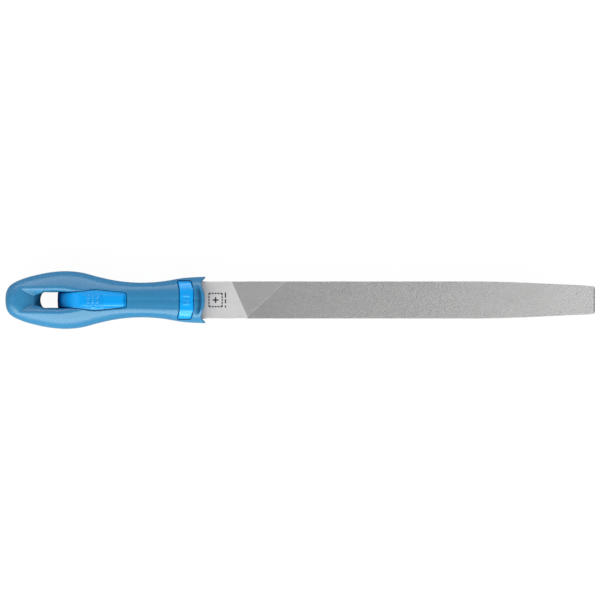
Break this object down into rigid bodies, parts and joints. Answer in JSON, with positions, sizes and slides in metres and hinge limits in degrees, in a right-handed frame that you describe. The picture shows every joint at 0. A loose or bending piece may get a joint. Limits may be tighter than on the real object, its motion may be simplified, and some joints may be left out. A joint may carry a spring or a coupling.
{
  "type": "flat file",
  "caption": "Flat hand file: slim double-cut steel blade with a smooth heel and tapered tip, held in a waisted two-shot plastic handle with a hang slot and a flared collar.",
  "frame": {"origin": "centre of the whole tool: half way from the butt of the handle to the tip of the blade, on the tool's axis, in the middle of the blade's thickness", "axes": "+X along the tool from the butt of the handle to the tip of the blade, +Y across the blade's width, +Z square to the blade's faces"},
  "size_m": [0.383, 0.0376, 0.0266],
  "materials": {
    "file_steel": "satin heel, matt cut faces",
    "core_plastic": "semi-gloss, fine moulded texture",
    "grip_elastomer": "satin, soft-touch"
  },
  "bodies": {
    "handle": {"handle_core": "core_plastic", "handle_grip": "grip_elastomer"},
    "file": {"file": "file_steel"}
  },
  "joints": [
    {"name": "tang_slide", "type": "slide", "parent": "handle", "child": "file", "axis": [1, 0, 0], "range_m": [0, 0.07]}
  ]
}
